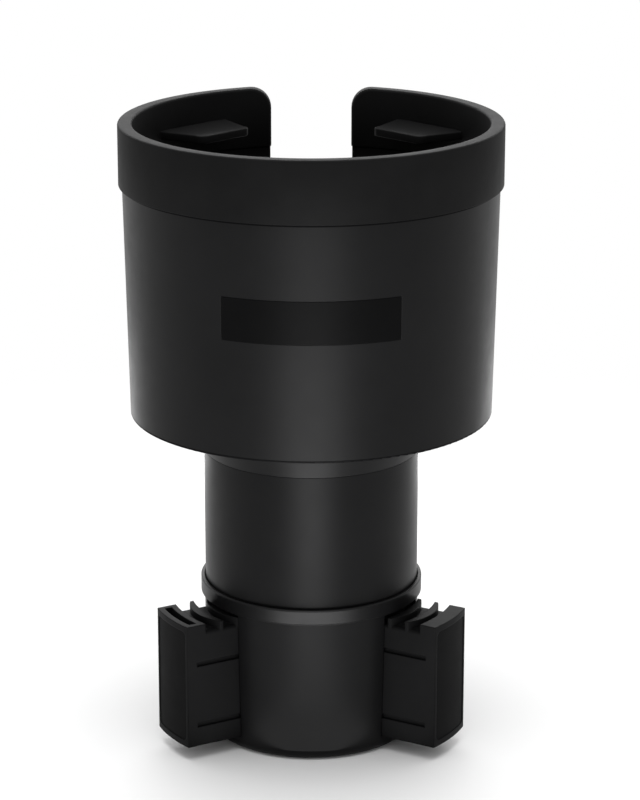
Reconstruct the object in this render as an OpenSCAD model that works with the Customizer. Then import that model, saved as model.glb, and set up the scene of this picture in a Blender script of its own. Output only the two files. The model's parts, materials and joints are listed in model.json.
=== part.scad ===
// Expanding cup holder: a large slotted cup with a soft rim stands on a turret
// that turns in a round base. A spiral scroll under the turret drives three
// numbered feet in and out of the base. Millimetres, +Z up, origin on the axis
// at the bottom of the base, slot of the cup to the rear (+Y).

/* [Heights] */
// Overall height from the bottom of the base to the top of the rim
total_h = 196.5; // [185:0.5:215]
// Height of the underside of the cup
cup_base_z = 104.9; // [100:0.1:112]
// Height of the seam between the neck tube and the skirt of the cup
neck_seam_z = 93; // [86:0.1:96]
// Height of the top of the collar
collar_top_z = 50.7; // [50.2:0.1:52]

/* [Cup] */
// Radius of the cup at its lower edge
cup_low_r = 56.4; // [53:0.1:57]
// Radius of the cup just under the rim
cup_top_r = 57.9; // [57.3:0.1:58.2]
// Thickness of the cup wall
cup_wall = 2.4; // [2.2:0.1:3]
// Thickness of the cup floor
cup_floor = 3; // [2.6:0.1:4]
// Rounding of the lower edge of the cup
cup_edge_r = 0.6; // [0.5:0.1:2.3]
// Height of the bottom of the handle slot above the cup floor
slot_floor_h = 14; // [10:1:40]
// Corner radius at the bottom of the handle slot
slot_corner_r = 8; // [2:0.5:12]
// Radius where the skirt meets the underside of the cup
skirt_top_r = 37.5; // [35:0.5:42]

/* [Rim] */
// Distance by which the rim stands out over the cup under it
rim_step = 1.1; // [1.1:0.1:3]
// Thickness of the rim wall
rim_wall = 4.5; // [4.2:0.1:5.5]
// Height of the rim
rim_h = 19.1; // [16:0.1:24]
// Rounding of the long edges of the rim
rim_edge_r = 1.4; // [0.4:0.1:1.9]
// Width of the handle slot
slot_w = 25.9; // [20:0.1:34]
// Radius of the upper corners of the rim at the slot
rim_corner_r = 7; // [1:0.5:8]
// Gap by which the slot of the cup is wider than that of the rim, each side
slot_inset = 0.3; // [0:0.1:1]
// Thickness of the tongue of the cup inside the rim
tongue_t = 1.3; // [1:0.1:1.5]
// Height of the tongue of the cup inside the rim
tongue_h = 12.5; // [8:0.5:14]

/* [Grip tabs] */
// Depth of the tabs below the top of the rim
tab_drop = 9.1; // [7:0.1:12]
// Thickness of the tabs
tab_t = 2.5; // [1.5:0.1:3.5]
// Angle that one tab takes up round the rim
tab_angle = 30; // [20:1:40]
// Distance of the inner edge of a tab from the axis
tab_reach_r = 37.5; // [36:0.5:48]
// Radius of the inner corners of a tab
tab_corner_r = 2.5; // [0.5:0.5:4]

/* [Label field] */
// Width of the bare field on the front, measured straight across
label_w = 52.6; // [30:0.2:70]
// Height of the bare field
label_h = 13; // [8:0.2:24]
// Depth of the middle of the field below the rim
label_drop = 29.4; // [16:0.2:50]
// Thickness of the film in the field
label_t = 0.5; // [0.3:0.1:0.8]

/* [Cup mat] */
// Thickness of the mat in the cup
mat_t = 2; // [1.2:0.1:4]
// Gap between the mat and the wall of the cup
mat_gap = 0.9; // [0.3:0.1:3]
// Spacing of the rings on the mat
mat_ring_pitch = 6; // [4:0.5:10]

/* [Neck tube] */
// Outer radius of the neck tube
neck_r = 33.6; // [33:0.1:33.7]
// Wall of the neck tube
neck_wall = 2.4; // [2:0.1:3]
// Thickness of the web across the foot of the neck tube
neck_web_t = 3; // [2.4:0.1:5]
// Wall of the spigot that stands up into the skirt of the cup
spigot_wall = 2.3; // [1.8:0.1:3]
// Gap between the spigot and the skirt of the cup
spigot_gap = 0.1; // [0.05:0.05:0.2]

/* [Base housing] */
// Radius of the base at its lower edge
base_low_r = 33; // [32.4:0.1:33.4]
// Radius of the base under the collar
base_top_r = 33.9; // [33.6:0.1:34.2]
// Rounding of the lower edge of the base
base_edge_r = 2.6; // [0.5:0.1:2.8]
// Bore of the base, as a radius
bore_r = 31; // [30.8:0.1:31.2]
// Thickness of the collar round the foot of the neck tube
collar_wall = 1.1; // [1.1:0.1:1.8]
// Height of the straight band round the collar
collar_band_h = 4.5; // [0.8:0.1:4.6]
// Rounding of the top edge of the collar
collar_edge_r = 0.3; // [0.2:0.1:1]
// Running gap between the neck tube and the collar
collar_gap = 0.3; // [0.1:0.05:0.4]
// Thickness of the sill under the windows
sill_t = 4.1; // [3.6:0.1:5]
// Inner radius of the ring that the base stands on
stand_r = 28; // [27:0.1:29]
// Thickness of the guide walls beside the feet
guide_t = 1.8; // [1.2:0.1:2.4]
// Radius of the bosses for the cover screws
boss_r = 3.2; // [2.8:0.1:4]

/* [Feet] */
// Width of a foot
foot_w = 20; // [18:0.1:20.4]
// Radius that the outer faces of the feet reach when opened out
foot_reach_r = 50.9; // [49:0.1:51]
// Distance of the inner end of an opened foot from the axis
foot_in_r = 21.3; // [21.3:0.1:22]
// Thickness of the outer wall of the middle foot of the three
foot_wall = 5.3; // [4.8:0.1:6]
// Most that any outer wall is thick, so that a closed foot clears the spiral rib
wall_limit = 6.3; // [5.3:0.1:6.3]
// Height of the teeth over the valleys between them
tooth_h = 2.3; // [1.8:0.1:2.6]
// Height of the bottom of the valleys between the teeth
valley_z = 42.2; // [41.8:0.1:42.6]
// Thickness of a tooth at its middle
tooth_t = 2.8; // [2.2:0.1:2.9]
// Radius of the outer face of a tooth
tooth_out_r = 17.5; // [15:0.5:18]
// Radius of the inner face of a tooth
tooth_in_r = 34; // [33:0.5:40]
// Gap between the outer wall and the first tooth, in the middle foot of the three
first_valley = 2.1; // [1.5:0.1:3]
// Rounding of the ends of the valleys
valley_edge_r = 1.2; // [0.4:0.1:2]
// Height of the lower guide groove in the feet
groove_z = 11.4; // [9:0.1:14]
// Height of the upper guide groove in the middle foot of the three
key_z = 33.7; // [31:0.1:35]
// Step in the upper groove from one foot to the next, so that each fits one window
key_step = 2.1; // [1.8:0.1:2.4]
// Height of the guide grooves
groove_h = 1.6; // [1.2:0.1:2]
// Depth of the guide grooves
groove_d = 0.9; // [0.6:0.1:1.2]
// Radius at which the guide grooves of an opened foot end
groove_end_r = 46.6; // [46.4:0.1:47]
// Running gap round the feet and their guides
slide_gap = 0.3; // [0.15:0.05:0.3]

/* [Grip pads] */
// Thickness of the soft pad in the face of a foot
pad_t = 0.7; // [0.5:0.1:0.8]
// Depth of the pad below the frame round it
pad_inset = 0.2; // [0:0.1:0.3]
// Width of the frame beside the pad
pad_frame = 1.1; // [0.8:0.1:2]
// Width of the frame over and under the pad
pad_frame_end = 2; // [1.2:0.1:4]
// Corner radius of the pad
pad_corner_r = 1.5; // [0.5:0.1:3]

/* [Scroll] */
// Advance of the spiral for each turn
scroll_pitch = 6; // [5.8:0.05:6.1]
// Gap between the rib and the teeth at their middle
mesh_gap = 0.45; // [0.4:0.01:0.5]
// Radius at which the spiral rib begins
scroll_in_r = 19.4; // [19.2:0.1:20]
// Thickness of the scroll plate over its rib
plate_t = 3.3; // [2.8:0.1:3.3]
// Gap between the rib and the valleys, and between the teeth and the plate
rib_gap = 0.35; // [0.2:0.05:0.4]

/* [Pivot and screws] */
// Radius of the shank of the pivot bolt
bolt_r = 2.5; // [2:0.1:2.6]
// Outer radius of the bush that the turret turns on
bush_r = 4; // [3.6:0.1:4.4]
// Radius of the post in the middle of the bottom cover
post_r = 5.2; // [5:0.05:5.3]
// Radius of the shank of the small screws
screw_r = 1.5; // [1.2:0.1:1.6]
// Radius of the heads of the small screws
screw_head_r = 3; // [2.6:0.1:3.2]

/* [Hidden] */
$fn = 96;
eps = 0.01;
fit = 0.05;

black = [0.13, 0.13, 0.14];
soft_black = [0.17, 0.17, 0.18];
deep_black = [0.08, 0.08, 0.09];
steel = [0.6, 0.61, 0.63];

// Azimuths of the feet, and by how many thirds of the pitch the teeth of each
// lie further out than those of the middle one
left_az = 210;
right_az = 330;
rear_az = 90;
left_step = -1;
right_step = 0;
rear_step = 1;
third = scroll_pitch / 3;
foot_az = [left_az, right_az, rear_az];
boss_az = [30, 150, 270];

// Feet
foot_z = sill_t + slide_gap;
tooth_top_z = valley_z + tooth_h;
half_w = foot_w / 2;
channel_w = foot_w + 2 * slide_gap;
recess_r = foot_reach_r - pad_inset - pad_t;
pad_z = foot_z + pad_frame_end;
pad_h = tooth_top_z - pad_frame_end - pad_z;
pad_w = foot_w - 2 * pad_frame;
core_wall = 2.2;
core_roof = 4;
pocket_wall = 1.9;
pocket_depth = 26;
pocket_w = 16.4;
foot_round = 192;

// Scroll
rib_z = valley_z + rib_gap;
plate_z = tooth_top_z + rib_gap;
plate_top_z = plate_z + plate_t;
plate_gap = 0.4;
rib_setback = 0.3;
plate_r = bore_r - plate_gap;
scroll_out_r = plate_r - rib_setback;
rib_t = scroll_pitch - tooth_t - 2 * mesh_gap;
scroll_sweep = 360 * (scroll_out_r - rib_t - scroll_in_r) / scroll_pitch;
scroll_az = right_az + 360 * (scroll_in_r - mesh_gap - tooth_r(right_step)) / scroll_pitch;
spiral_step = 6;

// Base and turret
turret_gap = 0.2;
window_gap = 0.3;
window_lip_h = 0.2;
window_step = 0.1;
window_low_z = sill_t + window_step;
window_top_z = plate_z + window_gap;
counterbore_r = neck_r + collar_gap;
collar_r = counterbore_r + collar_wall;
ledge_z = plate_top_z - turret_gap;
collar_low_z = window_top_z + window_lip_h;
collar_flare_z = collar_top_z - collar_edge_r - collar_band_h;
web_top_z = plate_top_z + neck_web_t;
wall_root = 1;
guide_low_z = sill_t + turret_gap;
guide_h = valley_z - guide_low_z;
guide_start_r = 14;
guide_rib_h = 1;
guide_rib_d = groove_d + fit;
guide_rib_root = 0.5;
guide_rib_end_r = bore_r + turret_gap;
cover_gap = 0.3;
cover_r = stand_r - cover_gap;
cover_z = 0.6;
post_top_z = plate_z - rib_setback;
boss_pos_r = stand_r - boss_r - cover_gap;
boss_web_t = 1.8;

// Pivot
bolt_head_r = 4.2;
bolt_head_h = 2.2;
bolt_socket_r = 1.6;
bolt_socket_h = 1.4;
head_sink = 0.2;
bush_top_z = web_top_z + turret_gap;
washer_r = 8;
washer_t = 1.2;
nut_af = 8;
nut_h = 4.5;
bolt_spare = 1.5;

// Small screws
screw_gap = 0.1;
sink_gap = 0.15;
cover_screw_l = 14;
scroll_screw_l = 9;
scroll_screw_pos_r = 12;
scroll_screw_az = [45, 135, 225, 315];
neck_screw_l = 14;
neck_screw_az = [0, 90, 180, 270];
neck_boss_r = 3.6;
web_boss_r = 3.6;
web_boss_h = 5;

// Neck, skirt and cup
skirt_wall = 2.9;
skirt_bore_r = neck_r - skirt_wall;
spigot_r = skirt_bore_r - spigot_gap;
spigot_in_r = spigot_r - spigot_wall;
spigot_top_z = cup_base_z - turret_gap;
shoulder_h = 5;
neck_screw_pos_r = spigot_in_r - neck_boss_r + wall_root;
rim_z = total_h - rim_h;
rim_r = cup_top_r + rim_step;
rim_in_r = rim_r - rim_wall;
tongue_step = 0.6;
tongue_r = cup_top_r - tongue_step;
tongue_gap = 0.1;
cup_floor_z = cup_base_z + cup_floor;
slot_floor_z = cup_floor_z + slot_floor_h;
cup_low_in_r = cup_low_r - cup_wall;
tab_az = [45, 135, 225, 315];
tab_root = 1;
slot_reach = rim_r + 1;
label_z = rim_z - label_drop;
label_proud = 0.1;
mat_rings = floor((cup_low_in_r - mat_gap) / mat_ring_pitch) - 1;
mat_rib_w = 2;
mat_rib_h = 0.8;

// Radius of the first tooth of an opened foot, at its outer face
function tooth_r(step) = foot_reach_r - foot_wall - first_valley + step * third;
// Thickness of the outer wall of a foot: what the teeth lose, the wall gains
function wall_t(step) = min(foot_wall - step * third, wall_limit);
// Height of the upper groove of a foot
function upper_groove_z(step) = key_z + step * key_step;
// Outer radius of the cup wall at height z
function cup_wall_r(z) = cup_low_r + (cup_top_r - cup_low_r) * (z - cup_base_z) / (rim_z - cup_base_z);
// Point of the spiral at sweep angle a, moved out by d
function spiral(a, d) = (scroll_in_r + scroll_pitch * a / 360 + d) * [cos(a), sin(a)];

// Shared shapes

// Quarter of a disc towards sx, sy: fills the corner of a section with a rounding
module quarter(r, sx, sy) {
    intersection() {
        circle(r, $fn = 48);
        translate([min(sx, 0) * r, min(sy, 0) * r])
            square(r);
    }
}

// Section from r0 to r1 and z0 to z1, with its four corners rounded
module round_section(r0, r1, z0, z1, edge) {
    translate([r0 + edge, z0])
        square([r1 - r0 - 2 * edge, z1 - z0]);
    translate([r0, z0 + edge])
        square([r1 - r0, z1 - z0 - 2 * edge]);
    for (r = [r0 + edge, r1 - edge], z = [z0 + edge, z1 - edge])
        translate([r, z])
            circle(edge, $fn = 32);
}

// Upright plate with a rounded outline, w across Y and h high, from x0 to x1
module upright_plate(x0, x1, w, h, corner) {
    translate([x0, 0, h / 2])
        rotate([90, 0, 90])
            linear_extrude(x1 - x0)
                round_rect(w, h, corner);
}

// Rectangle round the origin with rounded corners
module round_rect(w, h, corner) {
    square([w - 2 * corner, h], center = true);
    square([w, h - 2 * corner], center = true);
    for (x = [-1, 1] * (w / 2 - corner), y = [-1, 1] * (h / 2 - corner))
        translate([x, y])
            circle(corner, $fn = 32);
}

// Countersunk screw, head up at z = 0 and shank down
module flat_screw(length) {
    translate([0, 0, -screw_head_r + screw_r])
        cylinder(h = screw_head_r - screw_r, r1 = screw_r, r2 = screw_head_r);
    translate([0, 0, -length])
        cylinder(h = length - screw_head_r + screw_r + eps, r = screw_r);
}

// Hole for such a screw, open above z = 0
module flat_screw_hole(length) {
    translate([0, 0, -screw_head_r + screw_r])
        cylinder(
            h = screw_head_r - screw_r + eps,
            r1 = screw_r + sink_gap,
            r2 = screw_head_r + sink_gap + eps
        );
    translate([0, 0, -length])
        cylinder(h = length, r = screw_r + screw_gap);
    cylinder(h = 1, r = screw_head_r + sink_gap);
}

module at_feet() {
    for (az = foot_az)
        rotate(az)
            children();
}

// At azimuths az round the axis, out at radius r and at height z
module round_the_axis(azimuths, r, z) {
    for (az = azimuths)
        rotate(az)
            translate([r, 0, z])
                children();
}

// Base

module housing_shell() {
    rotate_extrude() {
        polygon([
            [stand_r, 0],
            [base_low_r - base_edge_r, 0],
            [base_low_r, base_edge_r],
            [base_top_r, collar_low_z],
            [collar_r, collar_flare_z],
            [collar_r, collar_top_z - collar_edge_r],
            [collar_r - collar_edge_r, collar_top_z],
            [counterbore_r, collar_top_z],
            [counterbore_r, ledge_z],
            [bore_r, ledge_z],
            [bore_r, sill_t],
            [stand_r, sill_t]
        ]);
        translate([base_low_r - base_edge_r, base_edge_r])
            quarter(base_edge_r, 1, -1);
        translate([collar_r - collar_edge_r, collar_top_z - collar_edge_r])
            quarter(collar_edge_r, 1, 1);
    }
}

// Walls that guide the feet, seen from above: a V between each two feet
module guide_plan() {
    difference() {
        intersection() {
            circle(bore_r + wall_root);
            at_feet()
                for (side = [-1, 1])
                    translate([0, side * (channel_w + guide_t) / 2 - guide_t / 2])
                        square([bore_r + 2 * wall_root, guide_t]);
        }
        at_feet()
            translate([0, -channel_w / 2])
                square([bore_r + 2 * wall_root, channel_w]);
    }
}

// Ribs that run in the grooves of one foot, on both sides of its channel
module guide_ribs(step) {
    thick = guide_rib_d + guide_rib_root;
    for (side = [-1, 1], z = [groove_z, upper_groove_z(step)])
        translate([
            guide_start_r,
            side * (channel_w / 2 + guide_rib_root - thick / 2) - thick / 2,
            z - guide_rib_h / 2
        ])
            cube([guide_rib_end_r - guide_start_r, thick, guide_rib_h]);
}

module base_housing() {
    color(black)
        difference() {
            union() {
                difference() {
                    union() {
                        housing_shell();
                        translate([0, 0, guide_low_z])
                            linear_extrude(guide_h)
                                guide_plan();
                    }
                    at_feet()
                        translate([guide_start_r, -channel_w / 2, window_low_z])
                            cube([collar_r - guide_start_r + 1, channel_w, window_top_z - window_low_z]);
                }
                round_the_axis(boss_az, boss_pos_r, guide_low_z) {
                    cylinder(h = guide_h, r = boss_r);
                    translate([0, -boss_web_t / 2, 0])
                        cube([bore_r - boss_pos_r + wall_root, boss_web_t, guide_h]);
                }
                rotate(left_az)
                    guide_ribs(left_step);
                rotate(right_az)
                    guide_ribs(right_step);
                rotate(rear_az)
                    guide_ribs(rear_step);
            }
            round_the_axis(boss_az, boss_pos_r, sill_t)
                cylinder(h = cover_screw_l, r = screw_r + fit);
        }
}

module bottom_cover() {
    color(black)
        difference() {
            union() {
                translate([0, 0, cover_z])
                    cylinder(h = sill_t - cover_z, r = cover_r);
                translate([0, 0, cover_z])
                    cylinder(h = post_top_z - cover_z, r = post_r);
            }
            cylinder(h = post_top_z + 1, r = bolt_r + screw_gap);
            cylinder(h = cover_z + head_sink + bolt_head_h, r = bolt_head_r + sink_gap);
            round_the_axis(boss_az, boss_pos_r, cover_z)
                rotate([180, 0, 0])
                    flat_screw_hole(sill_t);
        }
}

module cover_screws() {
    color(steel)
        round_the_axis(boss_az, boss_pos_r, cover_z)
            rotate([180, 0, 0])
                flat_screw(cover_screw_l);
}

// Pivot

module pivot_bolt() {
    head_z = cover_z + head_sink;
    color(steel)
        difference() {
            union() {
                translate([0, 0, head_z])
                    cylinder(h = bolt_head_h, r = bolt_head_r);
                translate([0, 0, head_z])
                    cylinder(h = bush_top_z + washer_t + nut_h + bolt_spare - head_z, r = bolt_r);
            }
            translate([0, 0, head_z - eps])
                cylinder(h = bolt_socket_h, r = bolt_socket_r, $fn = 6);
        }
}

module pivot_bush() {
    color(steel)
        translate([0, 0, post_top_z])
            ring(bush_top_z - post_top_z, bush_r, bolt_r + fit);
}

module pivot_washer() {
    color(steel)
        translate([0, 0, bush_top_z])
            ring(washer_t, washer_r, bolt_r + fit);
}

module pivot_nut() {
    color(steel)
        translate([0, 0, bush_top_z + washer_t])
            difference() {
                cylinder(h = nut_h, r = nut_af / 2 / cos(30), $fn = 6);
                translate([0, 0, -1])
                    cylinder(h = nut_h + 2, r = bolt_r + fit);
            }
}

module ring(h, outer, inner) {
    difference() {
        cylinder(h = h, r = outer);
        translate([0, 0, -1])
            cylinder(h = h + 2, r = inner);
    }
}

// Feet, each drawn along +X and turned to its azimuth

// One crescent tooth, seen from above, with its outer face at radius r
module tooth_plan(r) {
    intersection() {
        difference() {
            translate([r - tooth_out_r, 0])
                circle(tooth_out_r);
            translate([r - tooth_t - tooth_in_r, 0])
                circle(tooth_in_r);
        }
        translate([foot_in_r, -half_w])
            square([foot_reach_r - foot_in_r, foot_w]);
    }
}

// Outer wall of a foot, seen from above
module wall_plan(step) {
    intersection() {
        difference() {
            circle(foot_reach_r, $fn = foot_round);
            circle(foot_reach_r - wall_t(step), $fn = foot_round);
        }
        translate([foot_in_r, -half_w])
            square([foot_reach_r, foot_w]);
    }
}

module foot_plan() {
    intersection() {
        circle(foot_reach_r, $fn = foot_round);
        translate([foot_in_r, -half_w])
            square([foot_reach_r, foot_w]);
    }
}

// Rounded upper edge along one side of the valleys
module valley_edge(side) {
    translate([foot_in_r - 1, side * half_w, valley_z])
        rotate([90, 0, 90])
            linear_extrude(foot_reach_r - foot_in_r - 2)
                difference() {
                    square(2 * valley_edge_r, center = true);
                    translate([-side * valley_edge_r, -valley_edge_r])
                        circle(valley_edge_r, $fn = 32);
                }
}

module foot(step) {
    wall_in_r = foot_reach_r - wall_t(step);
    color(black)
        difference() {
            union() {
                difference() {
                    translate([0, 0, foot_z])
                        linear_extrude(valley_z - foot_z)
                            foot_plan();
                    for (side = [-1, 1])
                        valley_edge(side);
                }
                translate([0, 0, valley_z - 2 * valley_edge_r])
                    linear_extrude(tooth_h + 2 * valley_edge_r) {
                        wall_plan(step);
                        for (k = [0 : 4])
                            if (tooth_r(step) - k * scroll_pitch - tooth_t / 2 > foot_in_r)
                                tooth_plan(tooth_r(step) - k * scroll_pitch);
                    }
            }
            foot_grooves(step);
            pad_recess();
            foot_core(wall_in_r);
            if (wall_t(step) > foot_wall)
                wall_pocket(wall_in_r);
        }
}

module foot_grooves(step) {
    for (side = [-1, 1], z = [groove_z, upper_groove_z(step)])
        translate([foot_in_r - 1, side * half_w - groove_d, z - groove_h / 2])
            cube([groove_end_r - foot_in_r + 1, 2 * groove_d, groove_h]);
}

module pad_recess() {
    difference() {
        translate([0, 0, pad_z - fit])
            upright_plate(
                recess_r / 2,
                foot_reach_r + 1,
                pad_w + 2 * fit,
                pad_h + 2 * fit,
                pad_corner_r + fit
            );
        cylinder(h = 2 * tooth_top_z, r = recess_r, $fn = foot_round);
    }
}

// Two hollows from below, with a cross wall between them
module foot_core(wall_in_r) {
    span = wall_in_r - foot_in_r - 2 * core_wall;
    w = foot_w - 2 * groove_d - 2 * core_wall;
    for (k = [0, 1])
        translate([foot_in_r + core_wall + k * (span + core_wall) / 2, -w / 2, foot_z - 1])
            cube([(span - core_wall) / 2, w, valley_z - core_roof - foot_z + 1]);
}

// Curved pocket in the top of the thickest outer wall
module wall_pocket(wall_in_r) {
    translate([0, 0, tooth_top_z - pocket_depth])
        linear_extrude(pocket_depth + 1)
            intersection() {
                difference() {
                    circle(foot_reach_r - pocket_wall, $fn = foot_round);
                    circle(wall_in_r + pocket_wall, $fn = foot_round);
                }
                translate([foot_in_r, -pocket_w / 2])
                    square([foot_reach_r, pocket_w]);
            }
}

module grip_pad() {
    color(deep_black)
        intersection() {
            translate([0, 0, pad_z])
                upright_plate(recess_r / 2, foot_reach_r + 1, pad_w, pad_h, pad_corner_r);
            difference() {
                cylinder(h = 2 * tooth_top_z, r = foot_reach_r - pad_inset, $fn = foot_round);
                translate([0, 0, -1])
                    cylinder(h = 2 * tooth_top_z + 2, r = recess_r + eps, $fn = foot_round);
            }
        }
}

module foot_left() {
    rotate(left_az)
        foot(left_step);
}

module foot_right() {
    rotate(right_az)
        foot(right_step);
}

module foot_rear() {
    rotate(rear_az)
        foot(rear_step);
}

module grip_pad_left() {
    rotate(left_az)
        grip_pad();
}

module grip_pad_right() {
    rotate(right_az)
        grip_pad();
}

module grip_pad_rear() {
    rotate(rear_az)
        grip_pad();
}

// Turret

// The spiral rib, seen from above; it meets the teeth of all three feet
module spiral_plan() {
    turns = [for (a = [0 : spiral_step : scroll_sweep]) a];
    rotate(scroll_az)
        polygon(concat(
            [for (a = turns) spiral(a, 0)],
            [for (i = [len(turns) - 1 : -1 : 0]) spiral(turns[i], rib_t)]
        ));
}

module scroll_plate() {
    color(soft_black)
        difference() {
            union() {
                translate([0, 0, plate_z])
                    cylinder(h = plate_t, r = plate_r);
                translate([0, 0, rib_z])
                    linear_extrude(plate_top_z - turret_gap - rib_z)
                        spiral_plan();
            }
            translate([0, 0, plate_z - 1])
                cylinder(h = plate_t + 2, r = bush_r + fit);
            round_the_axis(scroll_screw_az, scroll_screw_pos_r, plate_z)
                rotate([180, 0, 0])
                    flat_screw_hole(plate_t + 1);
        }
}

module scroll_screws() {
    color(steel)
        round_the_axis(scroll_screw_az, scroll_screw_pos_r, plate_z)
            rotate([180, 0, 0])
                flat_screw(scroll_screw_l);
}

module neck_tube() {
    color(black)
        difference() {
            union() {
                rotate_extrude()
                    polygon([
                        [bush_r + fit, plate_top_z],
                        [neck_r, plate_top_z],
                        [neck_r, neck_seam_z],
                        [spigot_r, neck_seam_z],
                        [spigot_r, spigot_top_z],
                        [spigot_in_r, spigot_top_z],
                        [spigot_in_r, neck_seam_z - shoulder_h],
                        [neck_r - neck_wall, neck_seam_z - shoulder_h - neck_wall],
                        [neck_r - neck_wall, web_top_z],
                        [bush_r + fit, web_top_z]
                    ]);
                round_the_axis(scroll_screw_az, scroll_screw_pos_r, web_top_z - neck_web_t / 2)
                    cylinder(h = web_boss_h + neck_web_t / 2, r = web_boss_r);
                round_the_axis(neck_screw_az, neck_screw_pos_r, neck_seam_z - shoulder_h)
                    cylinder(h = spigot_top_z - neck_seam_z + shoulder_h, r = neck_boss_r);
            }
            round_the_axis(scroll_screw_az, scroll_screw_pos_r, plate_top_z - 1)
                cylinder(h = neck_web_t + web_boss_h + 2, r = screw_r + fit);
            round_the_axis(neck_screw_az, neck_screw_pos_r, cup_floor_z - neck_screw_l - 1)
                cylinder(h = neck_screw_l + 2, r = screw_r + fit);
        }
}

module neck_screws() {
    color(steel)
        round_the_axis(neck_screw_az, neck_screw_pos_r, cup_floor_z)
            flat_screw(neck_screw_l);
}

module cup_shell() {
    rotate_extrude() {
        polygon([
            [0, cup_base_z],
            [cup_low_r - cup_edge_r, cup_base_z],
            [cup_low_r, cup_base_z + cup_edge_r],
            [cup_top_r, rim_z],
            [tongue_r, rim_z],
            [tongue_r, rim_z + tongue_h],
            [tongue_r - tongue_t, rim_z + tongue_h],
            [tongue_r - tongue_t, rim_z],
            [cup_top_r - cup_wall, rim_z],
            [cup_low_in_r, cup_floor_z],
            [0, cup_floor_z]
        ]);
        translate([cup_low_r - cup_edge_r, cup_base_z + cup_edge_r])
            quarter(cup_edge_r, 1, -1);
        polygon([
            [skirt_bore_r, neck_seam_z],
            [neck_r, neck_seam_z],
            [skirt_top_r, cup_base_z],
            [skirt_top_r, cup_base_z + cup_floor / 2],
            [skirt_bore_r, cup_base_z + cup_floor / 2]
        ]);
    }
}

module cup_body() {
    color(black)
        difference() {
            cup_shell();
            handle_slot(slot_w + 2 * slot_inset, slot_floor_z, slot_corner_r);
            round_the_axis(neck_screw_az, neck_screw_pos_r, cup_floor_z)
                flat_screw_hole(cup_floor + 1);
            label_shape(label_w + 2 * fit, label_h + 2 * fit, label_t - label_proud, 1);
        }
}

// Slot cut through the rear wall from height z up, with rounded lower corners
module handle_slot(w, z, corner) {
    h = total_h - z;
    translate([0, 0, z])
        rotate([90, 0, 180])
            linear_extrude(slot_reach) {
                translate([0, h / 2])
                    round_rect(w, h, corner);
                translate([-w / 2, h / 2])
                    square([w, h]);
            }
}

// Field on the front, sunk by depth into the cup wall and standing out by proud
module label_shape(w, h, depth, proud) {
    low_r = cup_wall_r(label_z - h / 2);
    high_r = cup_wall_r(label_z + h / 2);
    intersection() {
        translate([-w / 2, -2 * cup_top_r, label_z - h / 2])
            cube([w, 2 * cup_top_r, h]);
        translate([0, 0, label_z - h / 2])
            rotate_extrude()
                polygon([
                    [low_r - depth, 0],
                    [low_r + proud, 0],
                    [high_r + proud, h],
                    [high_r - depth, h]
                ]);
    }
}

module front_label() {
    color(deep_black)
        label_shape(label_w, label_h, label_t - label_proud - eps, label_proud);
}

module cup_mat() {
    color(soft_black)
        translate([0, 0, cup_floor_z])
            rotate_extrude() {
                square([cup_low_in_r - mat_gap, mat_t]);
                for (k = [1 : mat_rings])
                    translate([k * mat_ring_pitch, mat_t / 2])
                        square([mat_rib_w, mat_rib_h + mat_t / 2]);
            }
}

// Tab seen from above, from inside the rim wall to its inner edge
module tab_plan() {
    root_r = rim_in_r + tab_root;
    slope = tan(tab_angle / 2);
    intersection() {
        circle(root_r);
        offset(tab_corner_r, $fn = 32)
            offset(delta = -tab_corner_r)
                polygon([
                    [tab_reach_r, -tab_reach_r * slope],
                    [2 * root_r, -2 * root_r * slope],
                    [2 * root_r, 2 * root_r * slope],
                    [tab_reach_r, tab_reach_r * slope]
                ]);
    }
}

module rim_ring() {
    color(soft_black)
        difference() {
            union() {
                rotate_extrude()
                    round_section(rim_in_r, rim_r, rim_z, total_h, rim_edge_r);
                for (az = tab_az)
                    rotate(az)
                        translate([0, 0, total_h - tab_drop - tab_t])
                            linear_extrude(tab_t)
                                tab_plan();
            }
            rotate_extrude()
                translate([tongue_r - tongue_t - tongue_gap, rim_z - 1])
                    square([tongue_t + 2 * tongue_gap, tongue_h + tongue_gap + 1]);
            rim_slot();
        }
}

// Cut through the rim at the slot, which leaves its upper corners round
module rim_slot() {
    translate([0, 0, total_h])
        rotate([90, 0, 180])
            linear_extrude(slot_reach)
                difference() {
                    translate([-slot_w / 2 - rim_corner_r, -rim_h - 1])
                        square([slot_w + 2 * rim_corner_r, rim_h + 2]);
                    for (side = [-1, 1])
                        translate([side * (slot_w / 2 + rim_corner_r), -rim_corner_r]) {
                            quarter(rim_corner_r, -side, 1);
                            translate([-rim_corner_r, -2 * rim_h])
                                square([2 * rim_corner_r, 2 * rim_h]);
                        }
                }
}

base_housing();
bottom_cover();
cover_screws();
pivot_bolt();
pivot_bush();
pivot_washer();
pivot_nut();
foot_left();
foot_right();
foot_rear();
grip_pad_left();
grip_pad_right();
grip_pad_rear();
scroll_plate();
scroll_screws();
neck_tube();
neck_screws();
cup_body();
cup_mat();
rim_ring();
front_label();
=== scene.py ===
# Expanding car cup holder: finishes, soft rim, cross-recess screws, lights and camera
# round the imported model.
import json
import math

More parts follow.
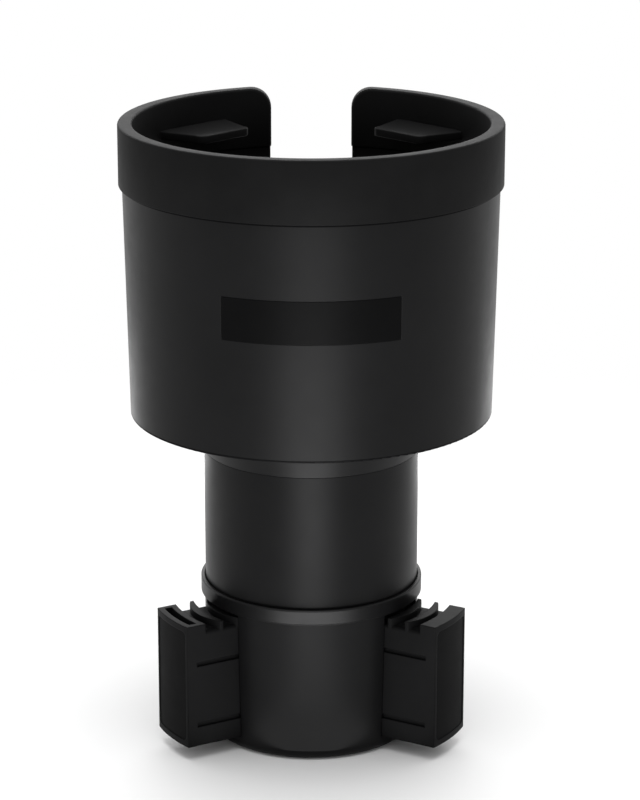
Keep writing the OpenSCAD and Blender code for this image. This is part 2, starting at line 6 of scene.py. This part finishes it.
import bmesh
import bpy
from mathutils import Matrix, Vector


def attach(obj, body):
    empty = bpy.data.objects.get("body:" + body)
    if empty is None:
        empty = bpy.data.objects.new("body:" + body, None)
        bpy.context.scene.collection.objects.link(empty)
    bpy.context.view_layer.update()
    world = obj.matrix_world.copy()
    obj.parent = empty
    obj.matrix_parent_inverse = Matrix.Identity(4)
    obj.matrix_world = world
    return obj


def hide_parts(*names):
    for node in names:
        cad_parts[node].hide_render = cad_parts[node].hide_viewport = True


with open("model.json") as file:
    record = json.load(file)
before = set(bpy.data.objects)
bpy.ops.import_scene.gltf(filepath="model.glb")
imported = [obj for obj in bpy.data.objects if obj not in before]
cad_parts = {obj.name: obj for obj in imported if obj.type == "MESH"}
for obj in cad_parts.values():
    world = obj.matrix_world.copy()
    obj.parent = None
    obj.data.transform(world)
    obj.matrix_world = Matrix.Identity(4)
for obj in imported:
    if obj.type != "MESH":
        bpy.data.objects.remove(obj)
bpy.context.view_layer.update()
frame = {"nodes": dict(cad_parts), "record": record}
mm = 0.001
mergeWithin = 1e-6  # metres


def newMesh(name, verts, faces, smoothBelow=40):
    # a piece from points in mm, faces outwards, smooth over edges flatter than the angle
    mesh = bpy.data.meshes.new(name)
    mesh.from_pydata([Vector(v) * mm for v in verts], [], faces)
    mesh.update()
    piece = bpy.data.objects.new(name, mesh)
    bpy.context.scene.collection.objects.link(piece)
    work = bmesh.new()
    work.from_mesh(mesh)
    bmesh.ops.remove_doubles(work, verts=work.verts, dist=mergeWithin)
    bmesh.ops.recalc_face_normals(work, faces=work.faces)
    for face in work.faces:
        face.smooth = True
    for edge in work.edges:
        edge.smooth = edge.calc_face_angle(0) < math.radians(smoothBelow)
    work.to_mesh(mesh)
    work.free()
    return piece


def gather(meshes):
    # one list of points and one of faces out of several
    verts, faces = [], []
    for newVerts, newFaces in meshes:
        faces += [tuple(i + len(verts) for i in face) for face in newFaces]
        verts += newVerts
    return verts, faces


def edgeLevels(low, high, edge, steps):
    # heights from low to high with the inset of the outline at each, round at both ends
    levels = []
    for i in range(steps + 1):
        turn = math.pi / 2 * i / steps
        levels.append((low + edge * (1 - math.cos(turn)), edge * (1 - math.sin(turn))))
    return levels + [(high - (z - low), inset) for z, inset in reversed(levels)]


def addNode(tree, kind, values=None, **props):
    node = tree.nodes.new(kind)
    for key, value in props.items():
        setattr(node, key, value)
    for key, value in (values or {}).items():
        node.inputs[key].default_value = value
    return node


def join(tree, source, output, target, entry):
    tree.links.new(source.outputs[output], target.inputs[entry])


def larger(tree, first, firstOutput, second, secondOutput):
    node = addNode(tree, "ShaderNodeMath", operation="MAXIMUM")
    join(tree, first, firstOutput, node, 0)
    join(tree, second, secondOutput, node, 1)
    return node


# what all the moulded finishes share; each noise has its scale, detail and roughness
moulded = dict(
    ior=1.46,
    clouds=(45, 5, 0.6), toneSpread=0.18,  # share by which the tone goes up and down
    smears=(160, 6, 0.65), roughnessSpread=0.025,
    grain=(3, 0.55),  # its scale is each finish's own
    noiseLow=0.3, noiseHigh=0.7,  # the part of a noise's range that is used
    edgeSamples=6,
)


def addNoise(tree, place, scale, detail, roughness):
    values = {"Scale": scale, "Detail": detail, "Roughness": roughness}
    noise = addNode(tree, "ShaderNodeTexNoise", values)
    join(tree, place, "Object", noise, "Vector")
    return noise


def heightNode(tree, place):
    height = addNode(tree, "ShaderNodeSeparateXYZ")
    join(tree, place, "Object", height, "Vector")
    return height


def addPaintedShadeLines(tree, place, shader, look):
    # painted shade: less gloss in thin level lines right under an edge, where shade falls
    height = heightNode(tree, place)
    less = -look["gloss"] * look["lineShade"]
    before = None
    for middle, half in look["paintedShadeLines"]:
        line = addNode(tree, "ShaderNodeMath", {1: middle, 2: half}, operation="COMPARE")
        values = {1: less, 2: look["gloss"]}
        gloss = addNode(tree, "ShaderNodeMath", values, operation="MULTIPLY_ADD")
        join(tree, height, "Z", line, 0)
        join(tree, line, "Value", gloss, 0)
        if before:
            join(tree, before, "Value", gloss, 2)
        before = gloss
    join(tree, before, "Value", shader, "Specular IOR Level")


def addDraft(tree, place, draft, under):
    # a band that leans out towards its top, as a mould's draft
    lean = addNode(tree, "ShaderNodeMapRange", {
        "From Min": draft["low"], "From Max": draft["high"],
        "To Min": 0.0, "To Max": (draft["high"] - draft["low"]) * draft["slope"],
    })
    band = addNode(tree, "ShaderNodeBump", {"Strength": 1.0, "Distance": 1.0})
    join(tree, heightNode(tree, place), "Z", lean, "Value")
    join(tree, lean, "Result", band, "Height")
    join(tree, under, "Normal", band, "Normal")
    return band


def mouldedFinish(name, look):
    # satin or matt moulded surface: tone in soft clouds, fine grain, rounded edges
    finish = bpy.data.materials.new(name)
    finish.use_nodes = True
    tree = finish.node_tree
    shader = tree.nodes["Principled BSDF"]
    shader.inputs["IOR"].default_value = moulded["ior"]
    shader.inputs["Metallic"].default_value = look.get("metal", 0.0)
    shader.inputs["Specular IOR Level"].default_value = look["gloss"]
    place = addNode(tree, "ShaderNodeTexCoord")

    clouds = addNoise(tree, place, *moulded["clouds"])
    tones = addNode(tree, "ShaderNodeValToRGB")
    ends = ((moulded["noiseLow"], -1), (moulded["noiseHigh"], 1))
    for element, (position, sign) in zip(tones.color_ramp.elements, ends):
        share = 1 + sign * moulded["toneSpread"]
        element.position = position
        element.color = [c * share for c in look["tone"]] + [1]
    join(tree, clouds, "Fac", tones, "Fac")
    join(tree, tones, "Color", shader, "Base Color")

    smears = addNoise(tree, place, *moulded["smears"])
    rough = addNode(tree, "ShaderNodeMapRange", {
        "From Min": moulded["noiseLow"], "From Max": moulded["noiseHigh"],
        "To Min": look["roughness"] - moulded["roughnessSpread"],
        "To Max": look["roughness"] + moulded["roughnessSpread"],
    })
    join(tree, smears, "Fac", rough, "Value")
    join(tree, rough, "Result", shader, "Roughness")

    # painted shade: thin lines of less gloss right under edges
    if "paintedShadeLines" in look:
        addPaintedShadeLines(tree, place, shader, look)

    grain = addNoise(tree, place, 1 / look["grainSize"], *moulded["grain"])
    values = {"Strength": look["grainStrength"], "Distance": look["grainDepth"]}
    bump = addNode(tree, "ShaderNodeBump", values)
    join(tree, grain, "Fac", bump, "Height")
    under = addNode(tree, "ShaderNodeBevel", {"Radius": look["edge"]},
                    samples=moulded["edgeSamples"])
    if "draft" in look:
        under = addDraft(tree, place, look["draft"], under)
    join(tree, under, "Normal", bump, "Normal")
    join(tree, bump, "Normal", shader, "Normal")
    return finish


# linear tones; grain, edge radius and heights in metres
finishes = {
    "cup_plastic": dict(
        tone=(0.0036, 0.0036, 0.0038), gloss=0.125, roughness=0.40, edge=0.0004,
        grainSize=0.0004, grainStrength=0.22, grainDepth=0.00002,
        # painted shade lines: middle height and half width of each, at the lower edge and under
        # the rim
        paintedShadeLines=((0.10525, 0.0005), (0.1771, 0.0003)), lineShade=0.85,
    ),
    "neck_plastic": dict(
        tone=(0.0034, 0.0034, 0.0036), gloss=0.12, roughness=0.40, edge=0.0004,
        grainSize=0.0004, grainStrength=0.22, grainDepth=0.00002,
    ),
    "housing_plastic": dict(
        tone=(0.0042, 0.0042, 0.0044), gloss=0.11, roughness=0.40, edge=0.0003,
        grainSize=0.0004, grainStrength=0.22, grainDepth=0.00002,
        draft=dict(low=0.0461, high=0.0500, slope=0.42),  # the band of the collar
    ),
    "foot_plastic": dict(
        tone=(0.0050, 0.0050, 0.0052), gloss=0.045, roughness=0.50, edge=0.0005,
        grainSize=0.0004, grainStrength=0.25, grainDepth=0.00002,
    ),
    "scroll_plastic": dict(
        tone=(0.0075, 0.0075, 0.0079), gloss=0.16, roughness=0.35, edge=0.0003,
        grainSize=0.0005, grainStrength=0.15, grainDepth=0.00002,
    ),
    "rim_rubber": dict(
        tone=(0.0060, 0.0060, 0.0061), gloss=0.042, roughness=0.55, edge=0.0002,
        grainSize=0.0003, grainStrength=0.3, grainDepth=0.00002,
    ),
    "mat_rubber": dict(
        tone=(0.0075, 0.0075, 0.0075), gloss=0.12, roughness=0.65, edge=0.0003,
        grainSize=0.0005, grainStrength=0.4, grainDepth=0.00004,
    ),
    "pad_rubber": dict(
        tone=(0.0030, 0.0030, 0.0031), gloss=0.04, roughness=0.6, edge=0.0002,
        grainSize=0.0005, grainStrength=0.4, grainDepth=0.00003,
    ),
    "label_film": dict(
        tone=(0.0016, 0.0016, 0.0017), gloss=0.05, roughness=0.38, edge=0.0001,
        grainSize=0.0015, grainStrength=0.05, grainDepth=0.00002,
    ),
    "screw_steel": dict(
        tone=(0.55, 0.55, 0.57), gloss=0.5, roughness=0.32, edge=0.0002, metal=1.0,
        grainSize=0.0006, grainStrength=0.12, grainDepth=0.00002,
    ),
}
madeFinishes = {slot: mouldedFinish(slot, look) for slot, look in finishes.items()}
slotOf = {part["node"]: part["material_slot"] for part in frame["record"]["subparts"]}
for node, piece in frame["nodes"].items():
    piece.data.materials.clear()
    piece.data.materials.append(madeFinishes[slotOf[node]])
print("finishes on", len(frame["nodes"]), "nodes")

# soft rim, in mm: an open ring with rounded ends, and four grip tabs that stand in from it
rim = dict(
    outer=59.0, inner=54.5, low=177.4, high=196.5,  # section of the ring
    edge=0.8, lowShare=0.35,  # rounding of the long edges, and the lower ones' share of it
    slotHalf=12.95, slotCorner=7.0,  # ends of the ring at the handle slot
    columns=330, edgeSteps=5, cornerSteps=9,
)
tab = dict(
    places=(45, 135, 225, 315), angle=30,  # azimuths, and the width in degrees
    low=184.9, high=187.4, reach=37.5, root=55.6,
    corner=2.5, edge=0.35, cornerSteps=8, edgeSteps=4,
)


def rimLine(radius, inset):
    # top edge of one half of the ring: places along the arc from the slot, with heights
    corner = rim["slotCorner"] - inset
    high = rim["high"] - inset
    start = math.asin((rim["slotHalf"] + inset) / radius) * radius
    along = []
    for i in range(rim["cornerSteps"] + 1):
        turn = math.pi / 2 * i / rim["cornerSteps"]
        drop = corner * (1 - math.sin(turn))
        along.append((start + corner * (1 - math.cos(turn)), high - drop))
    straight = rim["columns"] // 2
    first = along[-1][0]
    for i in range(1, straight + 1):
        along.append((first + (math.pi * radius - first) * i / straight, high))
    return along


def rimMesh():
    # a plate of the ring's thickness, bent round: its outline draws in towards both faces
    levels = edgeLevels(rim["inner"], rim["outer"], rim["edge"], rim["edgeSteps"])
    verts = []
    for radius, inset in levels:
        along = rimLine(radius, inset)
        low = rim["low"] + inset * rim["lowShare"]
        top, bottom = [], []
        for side, line in ((1, along), (-1, along[-2::-1])):
            for arc, high in line:
                angle = math.pi / 2 + side * arc / radius
                x, y = radius * math.cos(angle), radius * math.sin(angle)
                top.append((x, y, high))
                bottom.append((x, y, low))
        verts += top + bottom
    count = len(top)

    def at(level, column, side):
        return level * 2 * count + side * count + column

    faces = []
    last = len(levels) - 1
    for level in range(last):
        up = level + 1
        for column in range(count - 1):
            beside = column + 1
            for side in (0, 1):
                faces.append((at(level, column, side), at(level, beside, side),
                              at(up, beside, side), at(up, column, side)))
        for column in (0, count - 1):
            faces.append((at(level, column, 0), at(up, column, 0),
                          at(up, column, 1), at(level, column, 1)))
    for level in (0, last):
        for column in range(count - 1):
            faces.append((at(level, column, 0), at(level, column + 1, 0),
                          at(level, column + 1, 1), at(level, column, 1)))
    return verts, faces


def tabOutline(inset):
    # corners of the tab seen from above, drawn in by the inset, inner corners rounded
    half = math.radians(tab["angle"] / 2)
    side = inset / math.cos(half)
    corner = tab["corner"] - inset
    middle = tab["reach"] + inset + corner
    sweep = 90 + tab["angle"] / 2
    points = []
    for sign in (-1, 1):
        across = sign * (middle * math.tan(half) - side - corner / math.cos(half))
        line = [(tab["root"] * math.cos(half), sign * (tab["root"] * math.sin(half) - side))]
        for i in range(tab["cornerSteps"], -1, -1):
            turn = math.radians(180 - sweep * i / tab["cornerSteps"])
            line.append((middle + corner * math.cos(turn),
                         across + sign * corner * math.sin(turn)))
        points += line if sign < 0 else line[::-1]
    return points


def tabMesh(place):
    levels = edgeLevels(tab["low"], tab["high"], tab["edge"], tab["edgeSteps"])
    cos, sin = math.cos(math.radians(place)), math.sin(math.radians(place))
    verts, faces = [], []
    for z, inset in levels:
        verts += [(x * cos - y * sin, x * sin + y * cos, z) for x, y in tabOutline(inset)]
    count = len(verts) // len(levels)
    for low in range(0, len(verts) - count, count):
        up = low + count
        for i in range(count):
            j = (i + 1) % count
            faces.append((low + i, low + j, up + j, up + i))
    faces.append(tuple(range(count)))
    faces.append(tuple(range(len(verts) - count, len(verts))))
    return verts, faces


softRim = newMesh("softRim", *gather([rimMesh()] + [tabMesh(place) for place in tab["places"]]))
softRim.data.materials.append(madeFinishes["rim_rubber"])
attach(softRim, "turret")
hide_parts("rim_ring")
print("soft rim", len(softRim.data.polygons), "faces")

# countersunk screws of the bottom cover, in mm, with a cross recess, heads down
coverScrew = dict(
    places=(30, 150, 270), away=24.5,  # azimuths, and the distance from the axis
    face=0.6, head=3.0, shank=1.5, length=14.0,  # height of the head's face, radii, length
    brimIn=0.03, brimStep=0.02, brim=0.08,  # small bevel round the head's face
    recess=1.8, arm=0.8, depth=1.2,  # reach, width and depth of the cross
    wall=0.14, endSlope=1.3,  # how its sides and its ends run out
    around=96, rings=(0.2, 0.4, 0.6, 0.8, 1.0, 1.2, 1.4, 1.6, 1.8, 2.1, 2.5, 2.85),
    smoothBelow=25,
)


def crossDepth(x, y):
    reach = 1 - (x * x + y * y) / coverScrew["recess"] ** 2
    reach = max(0.0, min(1.0, coverScrew["endSlope"] * reach))
    inside = (coverScrew["arm"] / 2 - min(abs(x), abs(y))) / coverScrew["wall"] + 0.5
    return coverScrew["depth"] * reach * max(0.0, min(1.0, inside))


def screwMesh(azimuth):
    cx = coverScrew["away"] * math.cos(math.radians(azimuth))
    cy = coverScrew["away"] * math.sin(math.radians(azimuth))
    face, head, shank = coverScrew["face"], coverScrew["head"], coverScrew["shank"]
    rows = [(radius, None) for radius in coverScrew["rings"]]  # height from the cross
    rows += [
        (head - coverScrew["brimIn"], face + coverScrew["brimStep"]),
        (head, face + coverScrew["brim"]),
        (shank, face + head - shank),
        (shank, face + coverScrew["length"]),
    ]
    around = coverScrew["around"]
    verts, faces = [(cx, cy, face + crossDepth(0, 0))], []
    for radius, z in rows:
        for i in range(around):
            turn = 2 * math.pi * i / around
            x, y = radius * math.cos(turn), radius * math.sin(turn)
            verts.append((cx + x, cy + y, face + crossDepth(x, y) if z is None else z))
    end = len(verts) - around
    for i in range(around):
        j = (i + 1) % around
        faces.append((0, 1 + i, 1 + j))
        for low in range(1, end, around):
            up = low + around
            faces.append((low + i, low + j, up + j, up + i))
    faces.append(tuple(range(end, len(verts))))
    return verts, faces


crossScrews = newMesh("crossScrews", *gather(map(screwMesh, coverScrew["places"])),
                      smoothBelow=coverScrew["smoothBelow"])
crossScrews.data.materials.append(madeFinishes["screw_steel"])
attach(crossScrews, "base")
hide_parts("cover_screws")
print("cover screws", len(crossScrews.data.polygons), "faces")

# the stage, in metres
floorLook = dict(
    tone=0.84, roughness=0.6, gloss=0.2, size=3.0, drop=0.0002,
    fadeFrom=0.10, fadeTo=0.42, openUnder=0.027,  # distances from the axis
)
lamps = [
    # name, place, aims at, width, height, watts, spread in degrees
    # panels that lie on the floor, each for the part of the front that mirrors it
    ("basePanel", (0, -0.084, 0.003), (0, -0.084, 1), 0.06, 0.104, 0.0325, 180),
    ("neckPanel", (0, -0.20, 0.003), (0, -0.20, 1), 0.09, 0.12, 0.15, 180),
    ("frontPanelFar", (0, -0.36, 0.003), (0, -0.36, 1), 0.20, 0.25, 1.38, 180),
    # for what slopes down, the skirt and the collar's band
    ("skirtPanel", (0, -0.076, 0.004), (0, -0.076, 1), 0.07, 0.064, 0.05, 100),
    # the same for the back and the sides
    ("backPanelNear", (0, 0.20, 0.003), (0, 0.20, 1), 0.09, 0.12, 0.16, 180),
    ("backPanelFar", (0, 0.36, 0.003), (0, 0.36, 1), 0.20, 0.25, 1.20, 180),
    ("leftPanel", (-0.206, 0.295, 0.003), (-0.206, 0.295, 1), 0.16, 0.20, 0.16, 180),
    ("rightPanel", (0.206, 0.295, 0.003), (0.206, 0.295, 1), 0.16, 0.20, 0.16, 180),
    # large soft lights behind and above
    ("backSoft", (0, 1.3, 0.64), (0, 0, 0.15), 1.6, 0.30, 9.0, 180),
    ("topSoft", (0, -0.1, 1.5), (0, 0, 0.15), 1.1, 1.1, 16.0, 180),
]
worldLook = dict(seen=1.0, light=0.70)  # white where it is looked at, lower as a light
cameraLook = dict(
    place=(0.0, -0.8806, 0.3727), pitch=16.75,
    lens=132.3, sensor=36, shift=0.0109, clip=0.05,
)


def makeFloor():
    half = floorLook["size"] / 2
    corners = [(-half, -half, 0), (half, -half, 0), (half, half, 0), (-half, half, 0)]
    mesh = bpy.data.meshes.new("paleFloor")
    mesh.from_pydata(corners, [], [(0, 1, 2, 3)])
    piece = bpy.data.objects.new("paleFloor", mesh)
    bpy.context.scene.collection.objects.link(piece)
    piece.location.z = -floorLook["drop"]
    finish = bpy.data.materials.new("paleFloor")
    finish.use_nodes = True
    tree = finish.node_tree
    shader = tree.nodes["Principled BSDF"]
    shader.inputs["Base Color"].default_value = [floorLook["tone"]] * 3 + [1]
    shader.inputs["Roughness"].default_value = floorLook["roughness"]
    shader.inputs["Specular IOR Level"].default_value = floorLook["gloss"]
    clear = addNode(tree, "ShaderNodeBsdfTransparent")
    mix = addNode(tree, "ShaderNodeMixShader")
    place = addNode(tree, "ShaderNodeTexCoord")
    length = addNode(tree, "ShaderNodeVectorMath", operation="LENGTH")
    values = {"From Min": floorLook["fadeFrom"], "From Max": floorLook["fadeTo"]}
    fade = addNode(tree, "ShaderNodeMapRange", values, interpolation_type="SMOOTHSTEP")
    join(tree, place, "Object", length, 0)
    join(tree, length, "Value", fade, "Value")
    # see-through from below and right under the base, so that the underside shows
    side = addNode(tree, "ShaderNodeNewGeometry")
    values = {1: floorLook["openUnder"]}
    underBase = addNode(tree, "ShaderNodeMath", values, operation="LESS_THAN")
    join(tree, length, "Value", underBase, 0)
    fromBelow = larger(tree, fade, "Result", side, "Backfacing")
    seeThrough = larger(tree, fromBelow, "Value", underBase, "Value")
    join(tree, seeThrough, "Value", mix, "Fac")
    join(tree, shader, "BSDF", mix, 1)
    join(tree, clear, "BSDF", mix, 2)
    join(tree, mix, "Shader", tree.nodes["Material Output"], "Surface")
    piece.data.materials.append(finish)


def makeLamps():
    for name, place, aim, width, height, watts, spread in lamps:
        data = bpy.data.lights.new(name, "AREA")
        data.shape = "RECTANGLE"
        data.size = width
        data.size_y = height
        data.energy = watts
        data.spread = math.radians(spread)
        lamp = bpy.data.objects.new(name, data)
        lamp.location = place
        towards = Vector(aim) - Vector(place)
        lamp.rotation_euler = towards.to_track_quat("-Z", "Y").to_euler()
        lamp.visible_camera = False
        bpy.context.scene.collection.objects.link(lamp)


def makeWorld():
    # white for the camera, for gloss and through glass, a plain grey as a light
    world = bpy.data.worlds.new("studio")
    bpy.context.scene.world = world
    world.use_nodes = True
    tree = world.node_tree
    back = tree.nodes["Background"]
    back.inputs["Color"].default_value = (1, 1, 1, 1)
    path = addNode(tree, "ShaderNodeLightPath")
    values = {"To Min": worldLook["light"], "To Max": worldLook["seen"]}
    strength = addNode(tree, "ShaderNodeMapRange", values)
    seen = larger(tree, path, "Is Camera Ray", path, "Is Glossy Ray")
    seenAll = larger(tree, seen, "Value", path, "Is Transmission Ray")
    join(tree, seenAll, "Value", strength, "Value")
    join(tree, strength, "Result", back, "Strength")


def makeCamera():
    data = bpy.data.cameras.new("photoView")
    data.lens = cameraLook["lens"]
    data.sensor_width = cameraLook["sensor"]
    data.shift_x = cameraLook["shift"]
    data.clip_start = cameraLook["clip"]
    camera = bpy.data.objects.new("photoView", data)
    camera.location = cameraLook["place"]
    camera.rotation_euler = (math.radians(90 - cameraLook["pitch"]), 0, 0)
    bpy.context.scene.collection.objects.link(camera)
    bpy.context.scene.camera = camera


makeFloor()
makeLamps()
makeWorld()
makeCamera()
bpy.context.scene.view_settings.view_transform = "Standard"
print("stage ready")
